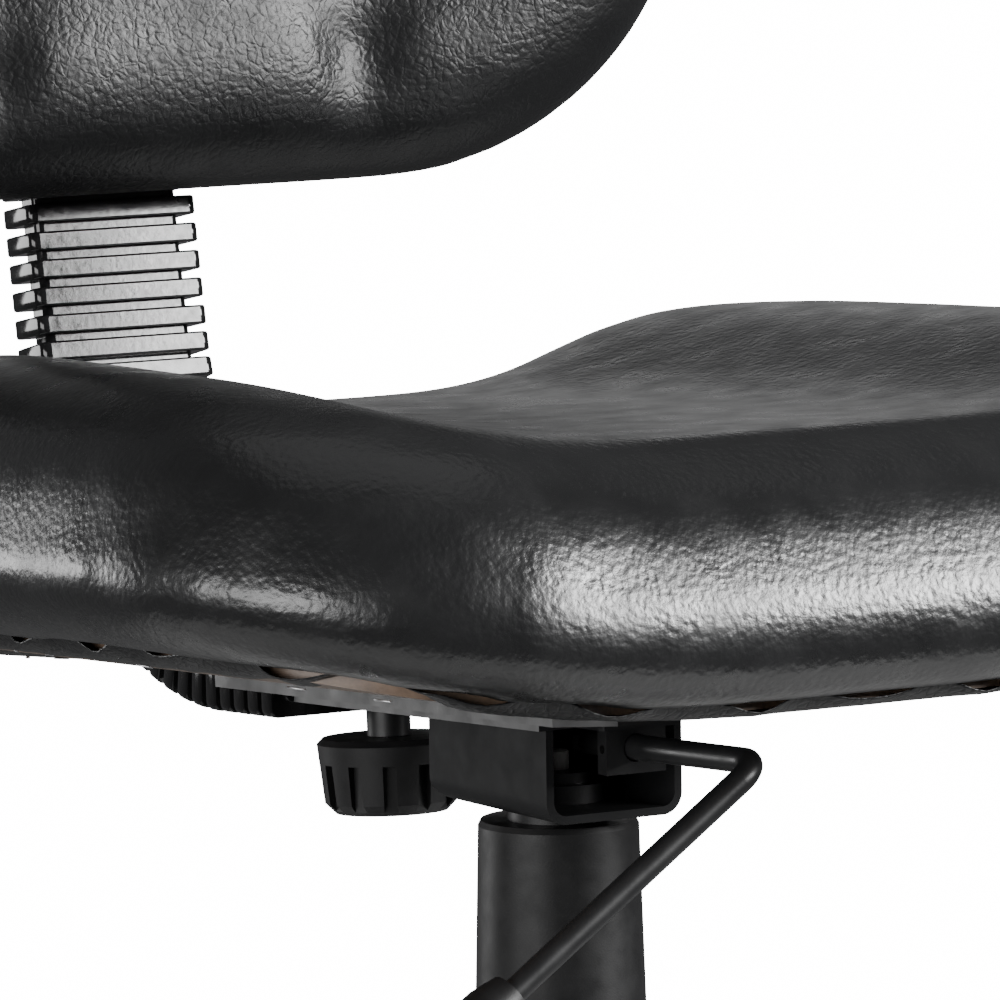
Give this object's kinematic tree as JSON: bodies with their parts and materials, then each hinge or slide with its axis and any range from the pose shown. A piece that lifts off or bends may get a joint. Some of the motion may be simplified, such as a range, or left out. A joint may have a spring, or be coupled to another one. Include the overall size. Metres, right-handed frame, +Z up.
{
  "type": "drafting stool",
  "caption": "Swivelling gas-lift drafting stool with padded seat, adjustable backrest on a bellows-covered bar, foot ring and castered star base.",
  "frame": {"origin": "on the floor, under the column's axis", "axes": "+Z up along the column; the sitter faces -Y and the backrest is on +Y; +X is the sitter's left"},
  "size_m": [0.6323, 0.7235, 1.1439],
  "materials": {
    "vinyl": "grained black upholstery vinyl with a soft sheen",
    "plywood": "moulded plywood, clear varnish",
    "black_steel": "satin black powder coat",
    "bellows_rubber": "glossy black moulded rubber",
    "black_plastic": "satin black moulded plastic",
    "pale_plastic": "natural acetal",
    "bright_steel": "zinc plated or ground steel",
    "chrome": "polished chrome plate",
    "caster_plastic": "fine-grained black nylon",
    "wheel_tread": "hard black tread"
  },
  "bodies": {
    "base": {"star_base": "black_plastic", "column_tube": "black_steel", "guide_bush": "pale_plastic", "thrust_bearing": "bright_steel", "lower_cover": "black_plastic"},
    "spindle": {"piston_rod": "bright_steel", "rod_clip": "bright_steel"},
    "seat_carriage": {"pressure_cylinder": "black_steel", "upper_cover": "black_plastic", "taper_socket": "black_steel", "seat_channel": "black_steel", "mount_plate": "black_steel", "lever_saddle": "black_steel", "bar_guide": "black_steel", "seat_pan": "plywood", "seat_cushion": "vinyl", "seat_bolts": "bright_steel", "tee_nuts": "bright_steel"},
    "cover_slide": {"middle_cover": "black_plastic"},
    "lever": {"lever_rod": "black_steel", "lever_grip": "black_plastic"},
    "button": {"release_button": "pale_plastic"},
    "depth_clamp": {"depth_knob": "black_plastic", "depth_stud": "bright_steel"},
    "back_post": {"back_bar": "black_steel", "bellows": "bellows_rubber"},
    "backrest": {"back_bracket": "black_steel", "back_bolts": "bright_steel", "back_shell": "black_plastic", "back_cushion": "vinyl"},
    "back_clamp": {"back_knob": "black_plastic", "back_stud": "bright_steel"},
    "foot_rest": {"foot_ring": "chrome", "foot_spokes": "chrome", "foot_hub": "black_steel"},
    "foot_clamp": {"foot_knob": "black_plastic", "foot_stud": "bright_steel"},
    "caster_1": {"caster_1_yoke": "caster_plastic", "caster_1_pins": "bright_steel"},
    "caster_1_left": {"caster_1_wheel_left": "wheel_tread"},
    "caster_1_right": {"caster_1_wheel_right": "wheel_tread"},
    "caster_2": {"caster_2_yoke": "caster_plastic", "caster_2_pins": "bright_steel"},
    "caster_2_left": {"caster_2_wheel_left": "wheel_tread"},
    "caster_2_right": {"caster_2_wheel_right": "wheel_tread"},
    "caster_3": {"caster_3_yoke": "caster_plastic", "caster_3_pins": "bright_steel"},
    "caster_3_left": {"caster_3_wheel_left": "wheel_tread"},
    "caster_3_right": {"caster_3_wheel_right": "wheel_tread"},
    "caster_4": {"caster_4_yoke": "caster_plastic", "caster_4_pins": "bright_steel"},
    "caster_4_left": {"caster_4_wheel_left": "wheel_tread"},
    "caster_4_right": {"caster_4_wheel_right": "wheel_tread"},
    "caster_5": {"caster_5_yoke": "caster_plastic", "caster_5_pins": "bright_steel"},
    "caster_5_left": {"caster_5_wheel_left": "wheel_tread"},
    "caster_5_right": {"caster_5_wheel_right": "wheel_tread"}
  },
  "joints": [
    {"name": "seat_swivel", "type": "hinge", "parent": "base", "child": "spindle", "pos_m": [0, 0, 0.62], "axis": [0, 0, 1], "continuous": true},
    {"name": "seat_lift", "type": "slide", "parent": "spindle", "child": "seat_carriage", "axis": [0, 0, 1], "range_m": [-0.12, 0.12]},
    {"name": "cover_follow", "type": "slide", "parent": "base", "child": "cover_slide", "axis": [0, 0, 1], "range_m": [-0.06, 0.06]},
    {"name": "lever_lift", "type": "hinge", "parent": "seat_carriage", "child": "lever", "pos_m": [0, -0.051, 0.6472], "axis": [-1, 0, 0], "range_deg": [0, 5]},
    {"name": "button_press", "type": "slide", "parent": "seat_carriage", "child": "button", "axis": [0, 0, -1], "range_m": [0, 0.0044]},
    {"name": "depth_knob_turn", "type": "hinge", "parent": "seat_carriage", "child": "depth_clamp", "pos_m": [0, 0.12061, 0.63136], "axis": [0, -0.0523, -0.9986], "range_deg": [0, 360]},
    {"name": "back_depth", "type": "slide", "parent": "seat_carriage", "child": "back_post", "axis": [0, 0.9986, -0.0523], "range_m": [0, 0.045]},
    {"name": "back_height", "type": "slide", "parent": "back_post", "child": "backrest", "axis": [0, 0.1822, 0.9833], "range_m": [0, 0.06]},
    {"name": "back_knob_turn", "type": "hinge", "parent": "backrest", "child": "back_clamp", "pos_m": [0, 0.36702, 0.87635], "axis": [0, 0.9833, -0.1822], "range_deg": [0, 360]},
    {"name": "foot_height", "type": "slide", "parent": "base", "child": "foot_rest", "axis": [0, 0, 1], "range_m": [-0.07, 0.05]},
    {"name": "foot_knob_turn", "type": "hinge", "parent": "foot_rest", "child": "foot_clamp", "pos_m": [0, -0.0423, 0.236], "axis": [0, -1, 0], "range_deg": [0, 360]},
    {"name": "caster_1_swivel", "type": "hinge", "parent": "base", "child": "caster_1", "pos_m": [0, -0.285, 0.058], "axis": [0, 0, 1], "continuous": true},
    {"name": "caster_1_left_roll", "type": "hinge", "parent": "caster_1", "child": "caster_1_left", "pos_m": [-0.01379, -0.29657, 0.025], "axis": [-0.6428, 0.766, 0], "continuous": true},
    {"name": "caster_1_right_roll", "type": "hinge", "parent": "caster_1", "child": "caster_1_right", "pos_m": [-0.01379, -0.29657, 0.025], "axis": [-0.6428, 0.766, 0], "continuous": true},
    {"name": "caster_2_swivel", "type": "hinge", "parent": "base", "child": "caster_2", "pos_m": [0.27105, -0.08807, 0.058], "axis": [0, 0, 1], "continuous": true},
    {"name": "caster_2_left_roll", "type": "hinge", "parent": "caster_2", "child": "caster_2_left", "pos_m": [0.27779, -0.10476, 0.025], "axis": [-0.9272, -0.3746, 0], "continuous": true},
    {"name": "caster_2_right_roll", "type": "hinge", "parent": "caster_2", "child": "caster_2_right", "pos_m": [0.27779, -0.10476, 0.025], "axis": [-0.9272, -0.3746, 0], "continuous": true},
    {"name": "caster_3_swivel", "type": "hinge", "parent": "base", "child": "caster_3", "pos_m": [0.16752, 0.23057, 0.058], "axis": [0, 0, 1], "continuous": true},
    {"name": "caster_3_left_roll", "type": "hinge", "parent": "caster_3", "child": "caster_3_left", "pos_m": [0.18548, 0.23183, 0.025], "axis": [0.0698, -0.9976, 0], "continuous": true},
    {"name": "caster_3_right_roll", "type": "hinge", "parent": "caster_3", "child": "caster_3_right", "pos_m": [0.18548, 0.23183, 0.025], "axis": [0.0698, -0.9976, 0], "continuous": true},
    {"name": "caster_4_swivel", "type": "hinge", "parent": "base", "child": "caster_4", "pos_m": [-0.16752, 0.23057, 0.058], "axis": [0, 0, 1], "continuous": true},
    {"name": "caster_4_left_roll", "type": "hinge", "parent": "caster_4", "child": "caster_4_left", "pos_m": [-0.16316, 0.24804, 0.025], "axis": [0.9703, -0.2419, 0], "continuous": true},
    {"name": "caster_4_right_roll", "type": "hinge", "parent": "caster_4", "child": "caster_4_right", "pos_m": [-0.16316, 0.24804, 0.025], "axis": [0.9703, -0.2419, 0], "continuous": true},
    {"name": "caster_5_swivel", "type": "hinge", "parent": "base", "child": "caster_5", "pos_m": [-0.27105, -0.08807, 0.058], "axis": [0, 0, 1], "continuous": true},
    {"name": "caster_5_left_roll", "type": "hinge", "parent": "caster_5", "child": "caster_5_left", "pos_m": [-0.28632, -0.07853, 0.025], "axis": [0.5299, 0.848, 0], "continuous": true},
    {"name": "caster_5_right_roll", "type": "hinge", "parent": "caster_5", "child": "caster_5_right", "pos_m": [-0.28632, -0.07853, 0.025], "axis": [0.5299, 0.848, 0], "continuous": true}
  ],
  "couplings": [
    {"joint": "cover_follow", "follows": "seat_lift", "ratio": 0.5},
    {"joint": "button_press", "follows": "lever_lift", "m_per_rad": 0.05}
  ]
}
